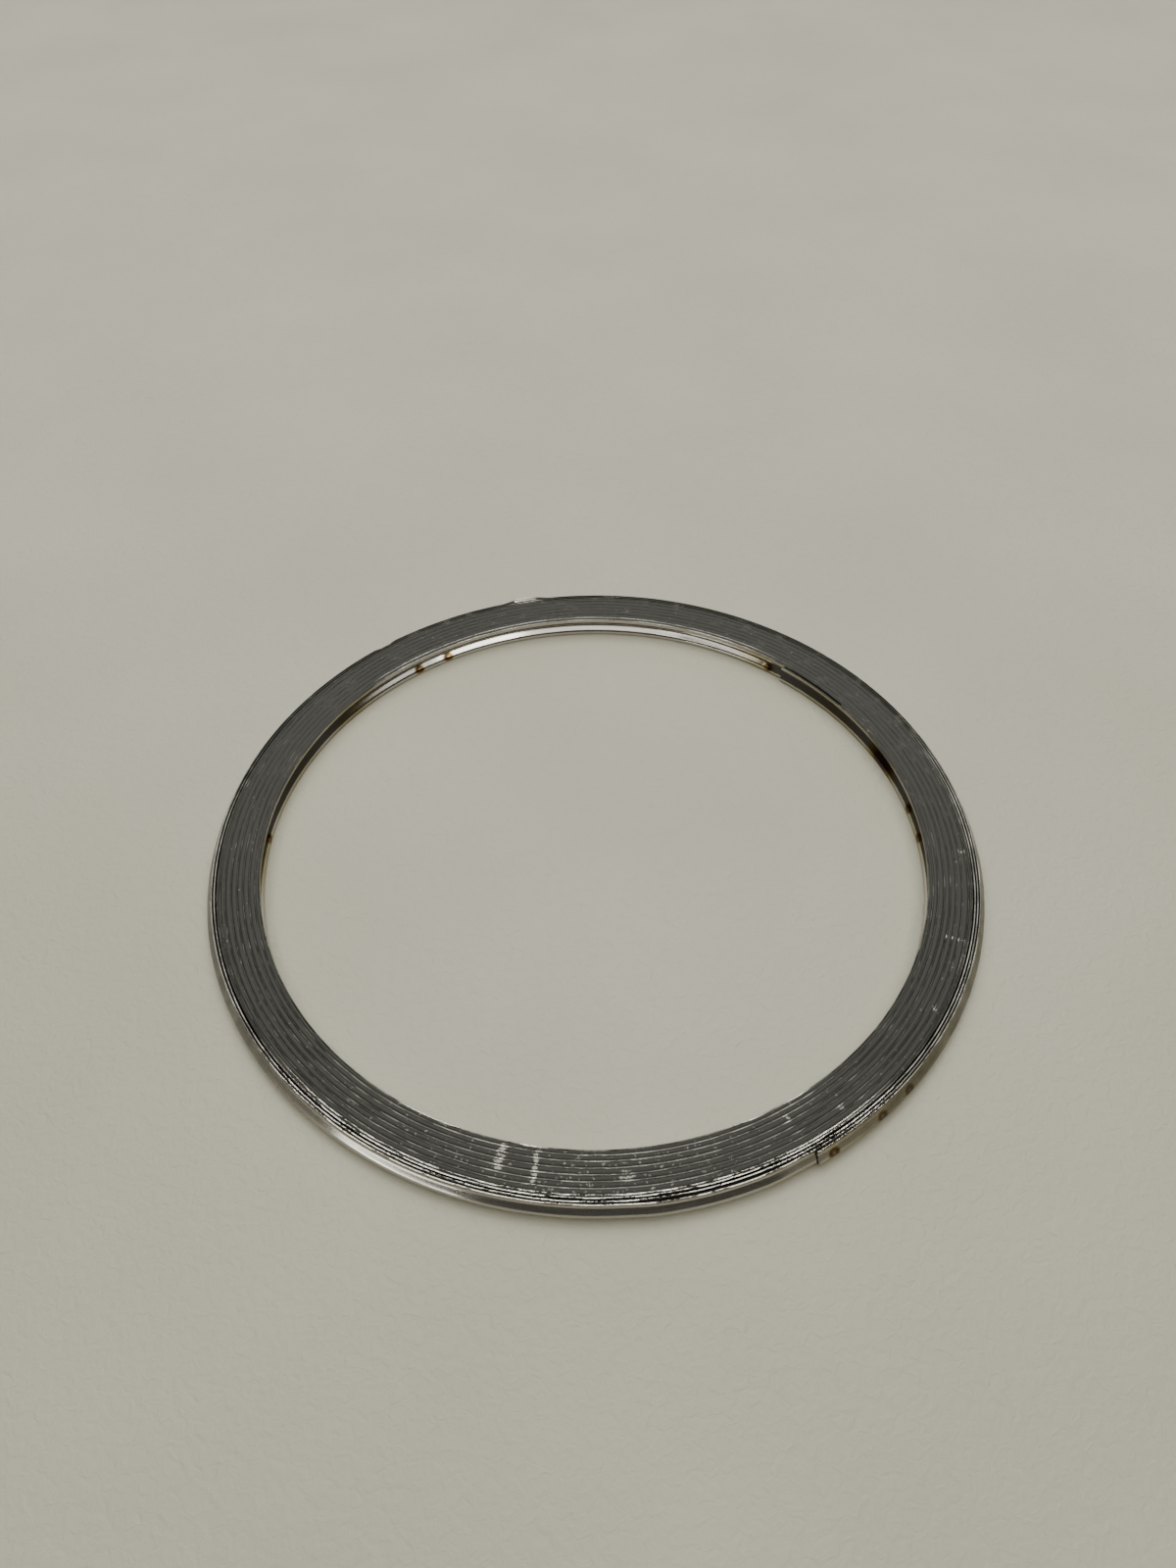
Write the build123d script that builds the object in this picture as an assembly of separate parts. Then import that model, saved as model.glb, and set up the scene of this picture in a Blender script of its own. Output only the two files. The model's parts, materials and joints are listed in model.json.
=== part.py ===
from build123d import *
import math
import os

# A spiral wound flange gasket: one long steel strip, rolled to a chevron section and
# wound up on edge, with one long strip of flexible graphite wound in between its turns.
# The gasket lies flat. +Z is up, and the origin is at the middle of its lower face.

# Driving dimensions, in millimetres and degrees
FILLER_HEIGHT = 3.20        # thickness of the gasket, over the graphite
STRIP_HEIGHT = 3.10         # the steel edges stay a little below the graphite
STRIP_GAUGE = 0.20          # thickness of the steel strip
RIDGE_DEPTH = 0.80          # how far the chevron's ridge stands out past its lips
LIP_HEIGHT = 0.50           # upright edge of the strip, above and below the chevron
LAND_HEIGHT = 0.20          # narrow flat along the ridge
INNER_RADIUS = 47.05        # inner face of the first lip
INNER_PLY_PITCH = 0.50      # radial step of a plain turn at the inner edge
FILLED_PITCH = 0.78         # radial step of a turn with graphite beside it
OUTER_PLY_PITCH = 0.34      # radial step of a plain turn at the outer edge
INNER_PLAIN_STEPS = 3       # half turns between which the radius grows by each pitch
FILLED_STEPS = 11
OUTER_PLAIN_STEPS = 6
FILLER_HALF_TURNS = 10      # the graphite ends one half turn before the last wide step
TURN = 360.0
HALF_TURN = TURN / 2
START_AZIMUTH = 49.3        # where the strip starts, counter-clockwise from +X
LAST_ARC = 110.7            # the strip runs on this far past its last whole half turn
WELD_DIAMETER = 1.20        # fused spot between two plies
WELD_WINDOW = 4.0           # angle of the stretch of gap that a weld is cut from
OUTER_WELD_AZIMUTHS = (-59.0, -50.7, -45.3)
OUTER_WELD_HEIGHT = 1.75    # middle of the outer spots, on the ridge
INNER_WELD_AZIMUTHS = (22.5, 8.7, 2.0, 178.0, 127.5, 120.9, 52.8)
INNER_WELD_HEIGHT = 0.85    # middle of the inner spots, on the lower slope

MIDDLE = FILLER_HEIGHT / 2
RISE = (STRIP_HEIGHT - LAND_HEIGHT) / 2 - LIP_HEIGHT
SLOPE = math.atan2(RIDGE_DEPTH, RISE)
UP = Axis.Z


def chevron_line(radius, offset, height):
    """Corners of a chevron, bottom to top, offset outwards from the strip's inner face."""
    shift = offset * math.tan(SLOPE / 2)
    lip = LAND_HEIGHT / 2 + RISE + shift
    land = LAND_HEIGHT / 2 + shift
    foot = radius + offset
    ridge = foot + RIDGE_DEPTH
    lower = [(foot, -height / 2), (foot, -lip), (ridge, -land)]
    upper = [(x, -z) for x, z in reversed(lower)]
    return [(x, MIDDLE + z) for x, z in lower + upper]


def section(inner_line, outer_line):
    """Upright face between two chevron lines, on the +X side of the axis."""
    outline = Polyline(*inner_line, *reversed(outer_line), close=True)
    return Plane.XZ * make_face(outline)


def strip_section(radius):
    """Section of the steel strip."""
    inner = chevron_line(radius, 0.0, STRIP_HEIGHT)
    outer = chevron_line(radius, STRIP_GAUGE, STRIP_HEIGHT)
    return section(inner, outer)


def gap_section(radius, pitch, height):
    """Section of the space between one turn of the strip and the next one out."""
    inner = chevron_line(radius, STRIP_GAUGE, height)
    outer = chevron_line(radius + pitch, 0.0, height)
    return section(inner, outer)


def half_turn_steps():
    """How much the radius grows from each half turn to the next.

    Where the pitch changes, one step lies midway, which keeps all turns about one middle.
    """
    steps = [INNER_PLY_PITCH / 2] * INNER_PLAIN_STEPS
    steps += [(INNER_PLY_PITCH + FILLED_PITCH) / 4]
    steps += [FILLED_PITCH / 2] * FILLED_STEPS
    steps += [(FILLED_PITCH + OUTER_PLY_PITCH) / 4]
    steps += [OUTER_PLY_PITCH / 2] * OUTER_PLAIN_STEPS
    return steps


def half_turn_arcs():
    """Centre and radius of each half turn.

    The centres lie on one line, so each arc leaves the last one along its tangent.
    """
    centre = -INNER_PLY_PITCH / 4
    radius = INNER_RADIUS
    arcs = [(centre, radius)]
    for index, step in enumerate(half_turn_steps()):
        centre += step if index % 2 == 0 else -step
        radius += step
        arcs.append((centre, radius))
    return arcs


def sweep_arc(face, centre, end_angle, arc):
    """Turn a section through an arc that ends, clockwise, at end_angle."""
    turned = revolve(Rot(0, 0, end_angle) * face, UP, arc)
    return Pos(centre, 0, 0) * turned


def end_of(index, arc=HALF_TURN):
    """Clockwise end of a half turn: they start on +X and -X by turns."""
    start = 0.0 if index % 2 == 0 else HALF_TURN
    return start - arc


def make_hoop_strip(arcs):
    """The whole steel strip, as one solid."""
    last = len(arcs) - 1
    pieces = []
    for index, (centre, radius) in enumerate(arcs):
        arc = LAST_ARC if index == last else HALF_TURN
        face = strip_section(radius)
        pieces.append(sweep_arc(face, centre, end_of(index, arc), arc))
    return pieces[0].fuse(*pieces[1:])


def make_filler_strip(arcs):
    """The whole graphite strip, as one solid."""
    first = INNER_PLAIN_STEPS + 1
    pieces = []
    for index in range(first, first + FILLER_HALF_TURNS):
        centre, radius = arcs[index]
        face = gap_section(radius, FILLED_PITCH, FILLER_HEIGHT)
        pieces.append(sweep_arc(face, centre, end_of(index), HALF_TURN))
    return pieces[0].fuse(*pieces[1:])


def make_weld(arcs, azimuth, whole_turns, pitch, height):
    """One fused spot: the part of the gap outside a ply that a radial pin passes through.

    The ply is the one that many whole turns after the strip's start.
    """
    travel = (START_AZIMUTH - azimuth) % TURN + TURN * whole_turns
    centre, radius = arcs[int(travel // HALF_TURN)]
    angle = azimuth - START_AZIMUTH
    face = gap_section(radius, pitch, STRIP_HEIGHT)
    gap = sweep_arc(face, centre, angle - WELD_WINDOW / 2, WELD_WINDOW)
    pin = Rot(0, 90, 0) * Cylinder(WELD_DIAMETER / 2, radius / 2)
    pin = Pos(centre, 0, height) * Rot(0, 0, angle) * Pos(radius, 0, 0) * pin
    return gap & pin


def save(shape, node, shift):
    """Turn the part to its azimuth, shift the outline's middle to the axis and write it."""
    placed = shift * Rot(0, 0, START_AZIMUTH) * shape
    export_step(placed, f"parts/{node}.step")
    print(node, round(placed.volume, 3), placed.is_valid)


os.makedirs("parts", exist_ok=True)
turns = half_turn_arcs()
hoop_strip = make_hoop_strip(turns)
outline_middle = (Rot(0, 0, START_AZIMUTH) * hoop_strip).bounding_box().center()
to_axis = Pos(-outline_middle.X, -outline_middle.Y, 0)
first_centre = to_axis * Rot(0, 0, START_AZIMUTH) * Pos(turns[0][0], 0, 0)
print("bore axis at", first_centre.position, "radius", INNER_RADIUS)
save(hoop_strip, "hoop_strip", to_axis)
save(make_filler_strip(turns), "filler_strip", to_axis)
for number, azimuth in enumerate(INNER_WELD_AZIMUTHS, start=1):
    weld = make_weld(turns, azimuth, 0, INNER_PLY_PITCH, INNER_WELD_HEIGHT)
    save(weld, f"inner_weld_{number}", to_axis)
# The outer spots lie between the last two plies, one turn before the strip's end.
outer_whole_turns = len(turns) // 2 - 1
for number, azimuth in enumerate(OUTER_WELD_AZIMUTHS, start=1):
    weld = make_weld(turns, azimuth, outer_whole_turns, OUTER_PLY_PITCH, OUTER_WELD_HEIGHT)
    save(weld, f"outer_weld_{number}", to_axis)
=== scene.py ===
"""Visual model of a spiral wound flange gasket, lying on a pale table.

One long stainless strip, rolled to a soft V, is wound up on edge with one long strip of
flexible graphite between its turns. Both strips are surfaces swept along the winding that
the frame's solids have. Sizes are in millimetres and degrees until a mesh is written.
"""
import json
import logging
import math
from dataclasses import dataclass, field
from enum import Enum
from typing import Any, Sequence

import bpy
import numpy as np
from mathutils import Matrix, Vector


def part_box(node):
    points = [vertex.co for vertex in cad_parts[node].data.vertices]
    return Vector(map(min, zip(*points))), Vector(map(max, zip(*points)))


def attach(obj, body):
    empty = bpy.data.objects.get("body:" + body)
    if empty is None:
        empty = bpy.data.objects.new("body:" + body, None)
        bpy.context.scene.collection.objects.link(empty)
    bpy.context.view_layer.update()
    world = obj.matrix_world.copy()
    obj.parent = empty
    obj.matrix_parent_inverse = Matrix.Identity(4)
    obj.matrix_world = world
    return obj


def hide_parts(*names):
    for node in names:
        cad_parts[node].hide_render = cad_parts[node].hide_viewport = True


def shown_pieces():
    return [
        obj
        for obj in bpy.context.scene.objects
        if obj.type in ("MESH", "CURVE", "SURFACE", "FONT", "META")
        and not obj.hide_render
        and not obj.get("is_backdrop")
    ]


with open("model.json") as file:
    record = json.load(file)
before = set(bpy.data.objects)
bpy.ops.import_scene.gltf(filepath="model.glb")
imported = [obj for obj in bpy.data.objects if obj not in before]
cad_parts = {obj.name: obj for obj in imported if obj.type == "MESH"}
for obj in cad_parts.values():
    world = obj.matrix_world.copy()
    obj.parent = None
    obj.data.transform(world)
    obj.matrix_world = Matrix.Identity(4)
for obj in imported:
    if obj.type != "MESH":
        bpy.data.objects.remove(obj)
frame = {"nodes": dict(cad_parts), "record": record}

LOG = logging.getLogger("spiral_wound_gasket")
MM = 0.001
TURN = 360.0
HALF_TURN = 180.0
BODY = "root"
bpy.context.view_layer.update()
SHARP_ANGLE = math.radians(40.0)


class Slot(Enum):
    """Material slots that the record names."""

    STEEL = "steel_strip"
    GRAPHITE = "graphite"
    WELD = "weld"


class Trait(Enum):
    """Values that a mesh carries at each vertex for its material."""

    OXIDE = "oxide"
    # Graphite film on the cut edges, and painted shade on the outermost wall.
    FILM_AND_SHADE = "film"
    # Rubbed patches, which bare the steel and on the graphite also paint pale glints.
    SCUFF_AND_GLINT = "scuff_and_glint"
    CUT_EDGE = "cut_edge"


# ---------------------------------------------------------------------------------------
# Small curves that the pieces share
# ---------------------------------------------------------------------------------------
def ease(part: np.ndarray) -> np.ndarray:
    """Smooth step: three times the square less twice the cube, held between 0 and 1."""
    held = np.clip(part, 0.0, 1.0)
    return held * held * (3.0 - 2.0 * held)


def hill(at: np.ndarray, middle: float, reach: float) -> np.ndarray:
    """Smooth hill of height 1 at its middle that comes down to 0 at its reach."""
    return ease(1.0 - np.abs(at - middle) / reach)


def plateau(at: np.ndarray, start: float, end: float, slope: float) -> np.ndarray:
    """1 from start to end, easing down to 0 over the slope outside them."""
    return ease((at - start) / slope + 1.0) * ease((end - at) / slope + 1.0)


def angle_from(azimuth: np.ndarray, middle: float) -> np.ndarray:
    """Signed angle from a middle azimuth, between -180 and 180 degrees."""
    return (azimuth - middle + HALF_TURN) % TURN - HALF_TURN


def smooth_noise(at: np.ndarray, spacing: float, seed: int) -> np.ndarray:
    """Random heights at an even spacing, joined by eased curves.

    Formula: the value is the eased mix of the random heights at the two nearest knots.

    Args:
        at: Places along the line, in the same unit as the spacing.
        spacing: Distance between the knots.
        seed: Seed of the random heights.

    Returns:
        Heights between -1 and 1, one for each place.
    """
    knots = at / spacing
    low = np.floor(knots).astype(int)
    first = int(low.min())
    heights = np.random.default_rng(seed).uniform(-1.0, 1.0, int(low.max()) - first + 2)
    part = ease(knots - low)
    return heights[low - first] * (1.0 - part) + heights[low - first + 1] * part


# ---------------------------------------------------------------------------------------
# The winding and the strip's section
# ---------------------------------------------------------------------------------------
# Travel, and how far out the strip lies there from its even spacing: the filled turns are
# wound a little loose, and the first plain ply after them is pulled in tight.
DRIFT = (
    (0.0, -0.20),
    (300.0, -0.20),
    (600.0, -0.08),
    (800.0, 0.0),
    (1100.0, 0.06),
    (2300.0, 0.13),
    (2480.0, 0.19),
    (2640.0, 0.19),
    (2700.0, 0.03),
    (2900.0, -0.02),
    (2980.0, -0.12),
    (3060.0, -0.12),
    (3200.0, -0.05),
    (3450.0, -0.05),
    (3650.0, 0.0),
)


@dataclass(frozen=True)
class Winding:
    """Path that the steel strip is wound along, as half turns about centres on one line.

    Travel is the angle wound since the strip's inner end, clockwise from above.
    """

    inner_radius: float
    axis_x: float
    axis_y: float
    inner_ply_pitch: float = 0.50
    filled_pitch: float = 0.78
    outer_ply_pitch: float = 0.34
    inner_plain_steps: int = 3
    filled_steps: int = 11
    outer_plain_steps: int = 6
    filled_half_turns: int = 10
    start_azimuth: float = 49.3
    last_arc: float = 110.7

    @property
    def steps(self) -> np.ndarray:
        """How much the radius grows from each half turn to the next."""
        inner, filled, outer = self.inner_ply_pitch, self.filled_pitch, self.outer_ply_pitch
        return np.array(
            [inner / 2] * self.inner_plain_steps
            + [(inner + filled) / 4]
            + [filled / 2] * self.filled_steps
            + [(filled + outer) / 4]
            + [outer / 2] * self.outer_plain_steps
        )

    @property
    def radii(self) -> np.ndarray:
        """Radius of each half turn: the first one, and each step added to it in turn."""
        return self.inner_radius + np.concatenate([[0.0], np.cumsum(self.steps)])

    @property
    def centres(self) -> np.ndarray:
        """Centre of each half turn along the line: each step, taken to and fro by turns."""
        signs = np.where(np.arange(self.steps.size) % 2 == 0, 1.0, -1.0)
        return np.concatenate([[0.0], np.cumsum(signs * self.steps)])

    @property
    def end(self) -> float:
        """Travel at the strip's outer end."""
        return HALF_TURN * self.steps.size + self.last_arc

    @property
    def filled_from(self) -> float:
        """Travel at which the wide turns start."""
        return HALF_TURN * (self.inner_plain_steps + 1)

    @property
    def filled_to(self) -> float:
        """Travel at which the wide turns end."""
        return self.filled_from + HALF_TURN * self.filled_half_turns

    def azimuth(self, travel: np.ndarray) -> np.ndarray:
        """Angle from +X, counter-clockwise: the start azimuth less the travel."""
        return self.start_azimuth - travel

    def drift(self, travel: np.ndarray) -> np.ndarray:
        """How far the plies sit out of their even spacing: straight runs between knots."""
        along, out = zip(*DRIFT)
        return np.interp(travel, along, out)

    def place(self, travel: np.ndarray, out: np.ndarray, up: np.ndarray) -> np.ndarray:
        """Points of a surface carried along the winding.

        Formula: the half turn's centre, plus its radius and the point's own distance
        outwards, along the direction that the azimuth gives; the height is the point's own.

        Args:
            travel: Travel of each point.
            out: Distance outwards from the strip's inner face, of the same grid.
            up: Height above the table, of the same grid.

        Returns:
            Places in millimetres, with x, y and z along the last axis.
        """
        index = np.clip(travel // HALF_TURN, 0, self.steps.size).astype(int)
        line = math.radians(self.start_azimuth)
        angle = np.radians(self.azimuth(travel))
        reach = self.radii[index] + self.drift(travel) + out
        x = self.axis_x + self.centres[index] * math.cos(line) + reach * np.cos(angle)
        y = self.axis_y + self.centres[index] * math.sin(line) + reach * np.sin(angle)
        return np.stack([x, y, up], axis=-1)

    def radius_of(self, points: np.ndarray) -> np.ndarray:
        """Distance of each point from the bore's axis, in millimetres."""
        return np.hypot(points[..., 0] - self.axis_x, points[..., 1] - self.axis_y)


@dataclass(frozen=True)
class SectionRing:
    """Closed outline of a section, and how each of its points takes part in the wear."""

    out: np.ndarray
    up: np.ndarray
    edge: np.ndarray
    across: np.ndarray

    @property
    def length_along(self) -> np.ndarray:
        """Distance round the outline to each point, and to the first point again."""
        x = np.append(self.out, self.out[0])
        z = np.append(self.up, self.up[0])
        return np.concatenate([[0.0], np.cumsum(np.hypot(np.diff(x), np.diff(z)))])


@dataclass(frozen=True)
class StripSection:
    """Section of the steel: near-upright lips, and a soft V between them, ridge outwards."""

    middle: float
    height: float = 3.10
    gauge: float = 0.20
    ridge_depth: float = 0.80
    lip_height: float = 0.50
    land_height: float = 0.20
    bend_softness: float = 0.05
    edge_round: float = 0.03

    @property
    def top(self) -> float:
        """Height of the strip's upper edge above the table."""
        return self.middle + self.height / 2

    def stand_out(self, rise: np.ndarray) -> np.ndarray:
        """How far the middle of the gauge stands out from the lips' inner face.

        Formula: half the gauge, plus the ridge depth times a ramp from 1 at the ridge to
        0 at the lips. A root of squares rounds the ramp at the ridge, a soft plus at the
        lips.

        Args:
            rise: Heights above the strip's middle.

        Returns:
            One distance for each height.
        """
        land = self.land_height / 2
        slope = self.height / 2 - land - self.lip_height
        ramp = (slope - (np.hypot(rise, land) - land)) / slope
        soft = self.bend_softness
        return self.gauge / 2 + self.ridge_depth * soft * np.logaddexp(0.0, ramp / soft)

    def face(self, side: float, count: int) -> tuple[np.ndarray, np.ndarray]:
        """One face of the strip, bottom to top.

        Formula: the middle line, moved half a gauge along its own normal.

        Args:
            side: 1 for the outer face and -1 for the inner one.
            count: Number of points.

        Returns:
            Distances outwards and heights above the table.
        """
        limit = self.height / 2 - self.edge_round
        rise = np.linspace(-limit, limit, count)
        line = self.stand_out(rise)
        lean = np.gradient(line, rise)
        scale = side * self.gauge / 2 / np.hypot(1.0, lean)
        return line + scale, self.middle + np.clip(rise - lean * scale, -limit, limit)

    def ring(self, count: int) -> SectionRing:
        """Outline of the section: inner face up, cut edge, outer face down, cut edge.

        Args:
            count: Number of points up each face.

        Returns:
            The outline, whose points pair up inner to outer from its two ends.
        """
        inner_out, inner_up = self.face(-1.0, count)
        outer_out, outer_up = self.face(1.0, count)
        near, far = self.edge_round, self.gauge - self.edge_round
        foot = self.middle - self.height / 2
        out = np.concatenate([[near], inner_out, [near, far], outer_out[::-1], [far]])
        up = np.concatenate([[foot], inner_up, [self.top] * 2, outer_up[::-1], [foot]])
        flat = np.zeros(count)
        corner = flat.copy()
        corner[[0, -1]] = (-0.5, 0.5)
        edge = np.concatenate([[-1.0], corner, [1.0, 1.0], corner[::-1], [-1.0]])
        across = np.concatenate([[-0.5], flat - 1.0, [-0.5, 0.5], flat + 1.0, [0.5]])
        return SectionRing(out, up, edge, across)


# ---------------------------------------------------------------------------------------
# Meshes
# ---------------------------------------------------------------------------------------
def swept_mesh(
    name: str, points: np.ndarray, uv: np.ndarray, traits: dict[Trait, np.ndarray]
) -> bpy.types.Object:
    """Closed mesh from rings of points, each ring joined to the next one.

    Formula: each quad has two neighbours on one ring and two on the next; at both ends,
    the ring's points are joined in pairs from its two ends, which closes the section.

    Args:
        name: Name of the object and its mesh.
        points: Places in millimetres, ring by ring, shaped (rings, points, 3).
        uv: Distances along and round in millimetres, shaped (rings, points + 1, 2).
        traits: Values for the material, each shaped (rings, points).

    Returns:
        The new object, linked to the scene.
    """
    rings, count = points.shape[:2]
    first, second = np.meshgrid(np.arange(rings - 1), np.arange(count), indexing="ij")
    sides = np.stack(
        [(first, second), (first + 1, second), (first + 1, second + 1), (first, second + 1)]
    )
    sides = sides.transpose(2, 3, 0, 1).reshape(-1, 4, 2)
    low = np.arange(count // 2 - 1)
    rungs = np.stack([low, low + 1, count - 2 - low, count - 1 - low], axis=1)
    start = np.stack([np.zeros_like(rungs), rungs], axis=-1)
    end = np.stack([np.full_like(rungs, rings - 1), rungs], axis=-1)[:, ::-1]
    corners = np.concatenate([sides, start, end])
    vertex = corners[..., 0] * count + corners[..., 1] % count
    mesh = bpy.data.meshes.new(name)
    mesh.vertices.add(rings * count)
    mesh.vertices.foreach_set("co", (points * MM).astype(np.float32).ravel())
    mesh.loops.add(vertex.size)
    mesh.loops.foreach_set("vertex_index", vertex.astype(np.int32).ravel())
    mesh.polygons.add(len(vertex))
    mesh.polygons.foreach_set("loop_start", np.arange(0, vertex.size, 4, dtype=np.int32))
    mesh.update(calc_edges=True)
    layer = mesh.uv_layers.new(name="along_strip")
    loops = uv[corners[..., 0], corners[..., 1]]
    layer.data.foreach_set("uv", loops.astype(np.float32).ravel())
    for trait, values in traits.items():
        data = mesh.attributes.new(trait.value, "FLOAT", "POINT").data
        data.foreach_set("value", np.broadcast_to(values, (rings, count)).ravel())
    mesh.polygons.foreach_set("use_smooth", np.ones(len(vertex), dtype=bool))
    mesh.set_sharp_from_angle(angle=SHARP_ANGLE)
    mesh.validate()
    piece = bpy.data.objects.new(name, mesh)
    bpy.context.scene.collection.objects.link(piece)
    return piece


def strip_uv(travel: np.ndarray, radius: float, ring: SectionRing) -> np.ndarray:
    """Distances along the strip and round its section, in millimetres."""
    along, around = np.meshgrid(np.radians(travel) * radius, ring.length_along, indexing="ij")
    return np.stack([along, around], axis=-1)


# ---------------------------------------------------------------------------------------
# Wear, dents and heat marks, each placed by its azimuth
# ---------------------------------------------------------------------------------------
@dataclass(frozen=True)
class ScuffAndGlint:
    """A rubbed patch on the flat face, from one radius to another; on the graphite its pale colour
    is also a painted glint.
    """

    azimuth: float
    reach: float
    inner: float
    outer: float
    strength: float

    def on(self, azimuth: np.ndarray, radius: np.ndarray) -> np.ndarray:
        """How strongly the patch shows: a hill round, times a plateau outwards."""
        round_it = hill(angle_from(azimuth, self.azimuth), 0.0, self.reach)
        return self.strength * round_it * plateau(radius, self.inner, self.outer, 0.35)


@dataclass(frozen=True)
class HeatTint:
    """Oxide colour beside a weld: 0 is clean, and 1 is blue-black."""

    azimuth: float
    reach: float
    depth: float
    height: float = 1.6
    spread: float = 9.0

    def on(self, azimuth: np.ndarray, up: np.ndarray) -> np.ndarray:
        """Depth of the tint: a hill round the wall, times a hill up it."""
        away = hill(angle_from(azimuth, self.azimuth), 0.0, self.reach)
        return self.depth * away * hill(up, self.height, self.spread)


@dataclass(frozen=True)
class WeldRow:
    """Spot welds of one wall: their azimuths, their height and the wall's radius."""

    azimuths: tuple[float, ...]
    height: float
    radius: float


@dataclass(frozen=True)
class LipDent:
    """A stretch of the outermost upper lip, bent outwards and up or down."""

    azimuth: float
    reach: float
    outwards: float
    upwards: float


# Azimuth and reach in degrees, inner and outer radius, strength.
# Rubbed patches bare the steel's edges; on the graphite they paint pale glints, and the broad one
# across the front paints sparkle.
SCUFFS_AND_GLINTS = (
    ScuffAndGlint(-102.8, 0.9, 47.3, 50.3, 0.9),
    ScuffAndGlint(-97.9, 0.7, 47.3, 51.4, 0.85),
    ScuffAndGlint(-85.5, 1.4, 49.6, 50.6, 0.5),
    ScuffAndGlint(-62.0, 0.7, 48.4, 49.2, 0.8),
    ScuffAndGlint(-54.6, 0.9, 50.4, 51.2, 0.6),
    ScuffAndGlint(-33.0, 0.6, 51.2, 51.7, 0.7),
    ScuffAndGlint(-20.0, 0.25, 49.4, 52.2, 0.8),
    ScuffAndGlint(-3.0, 0.4, 51.6, 52.2, 0.7),
    ScuffAndGlint(-90.0, 48.0, 47.4, 52.0, 0.22),
    ScuffAndGlint(-115.0, 9.0, 46.7, 46.95, 1.0),
    ScuffAndGlint(-99.0, 3.4, 46.7, 46.95, 1.0),
    ScuffAndGlint(-67.2, 4.6, 46.7, 46.95, 1.0),
    ScuffAndGlint(-58.7, 2.8, 46.7, 46.95, 1.0),
    ScuffAndGlint(102.6, 4.4, 53.3, 55.2, 1.0),
)
# Azimuth and reach in degrees, depth.
INNER_TINTS = (
    HeatTint(20.5, 7.0, 0.62),
    HeatTint(36.0, 17.0, 0.15),
    HeatTint(55.0, 8.0, 0.17),
    HeatTint(145.0, 11.0, 0.20),
    HeatTint(163.0, 16.0, 0.14),
    HeatTint(183.0, 12.0, 0.20),
    HeatTint(4.0, 12.0, 0.15),
)
OUTER_TINTS = (HeatTint(-46.0, 34.0, 0.17), HeatTint(-20.0, 24.0, 0.11))
INNER_WELDS = WeldRow((22.5, 8.7, 2.0, 178.0, 127.5, 120.9, 52.8), 0.85, 47.6)
OUTER_WELDS = WeldRow((-59.0, -50.7, -45.3), 1.95, 54.5)
LIP_DENTS = (LipDent(102.6, 4.6, 0.68, 0.0), LipDent(130.2, 2.3, -0.10, -0.15))


def scuffs_and_glints_on(azimuth: np.ndarray, radius: np.ndarray) -> np.ndarray:
    """All the rubbed patches and painted glints of the flat face together."""
    return np.clip(sum(scuff_and_glint.on(azimuth, radius) for scuff_and_glint in SCUFFS_AND_GLINTS), 0.0, 1.0)


def graphite_film(azimuth: np.ndarray, radius: np.ndarray) -> np.ndarray:
    """How much graphite is pressed over the strip's cut edges.

    Formula: full cover, less the shares rubbed bare: across the front, most of all on the
    outer plies; across the back, on the inner plies; and on the rim, but not at the back.

    Args:
        azimuth: Angle of each point.
        radius: Distance of each point from the axis.

    Returns:
        Cover between 0 and 1.
    """
    behind = angle_from(azimuth, 95.0)
    front = plateau(angle_from(azimuth, -90.0), -38.0, 32.0, 16.0)
    back = plateau(behind, -34.0, 34.0, 14.0)
    round_front = 1.0 - plateau(behind, -62.0, 62.0, 24.0)
    inner_plies = 1.0 - ease((radius - 48.05) / 0.3)
    outer_plies = ease((radius - 51.6) / 0.2)
    rim = ease((radius - 52.7) / 0.2)
    bared = front * (0.12 + 0.10 * inner_plies + 0.88 * outer_plies)
    bared = bared + back * 0.70 * inner_plies + round_front * 0.45 * rim
    return np.clip(1.0 - bared, 0.0, 1.0)


def outer_wall_painted_shade(azimuth: np.ndarray) -> np.ndarray:
    """Painted shade on the outermost wall, as a dark dull coat of the film's colour: heavy all
    round, but light across the front.
    """
    return 0.55 - 0.45 * plateau(angle_from(azimuth, -92.0), -30.0, 30.0, 20.0)


# ---------------------------------------------------------------------------------------
# Finishes
# ---------------------------------------------------------------------------------------
def srgb(hex_value: str, alpha: float = 1.0) -> tuple[float, float, float, float]:
    """Linear colour of an sRGB hex value: the standard curve, channel by channel."""
    parts = [int(hex_value[i : i + 2], 16) / 255.0 for i in (1, 3, 5)]
    linear = [p / 12.92 if p <= 0.04045 else ((p + 0.055) / 1.055) ** 2.4 for p in parts]
    return (*linear, alpha)


def add_node(
    tree: bpy.types.NodeTree,
    kind: str,
    inputs: dict[Any, Any] | None = None,
    stops: Sequence[tuple[float, str]] = (),
    **options: Any,
) -> bpy.types.Node:
    """Adds one node, sets it up and links it.

    Args:
        tree: Tree that gets the node.
        kind: Blender's name for the node's type.
        inputs: Value of each input, or the output socket that it is linked from.
        stops: Places and sRGB hex colours, where the node has a colour ramp.
        options: The node's own settings.

    Returns:
        The new node.
    """
    node = tree.nodes.new(kind)
    for name, value in options.items():
        setattr(node, name, value)
    for number, (place, colour) in enumerate(stops):
        elements = node.color_ramp.elements
        element = elements[number] if number < 2 else elements.new(place)
        element.position, element.color = place, srgb(colour)
    for key, value in (inputs or {}).items():
        if isinstance(value, bpy.types.NodeSocket):
            tree.links.new(value, node.inputs[key])
        else:
            node.inputs[key].default_value = value
    return node


def new_material(name: str) -> tuple[bpy.types.Material, bpy.types.NodeTree]:
    """An empty node material of that name, and its tree."""
    material = bpy.data.materials.new(name)
    material.use_nodes = True
    material.node_tree.nodes.clear()
    return material, material.node_tree


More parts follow.
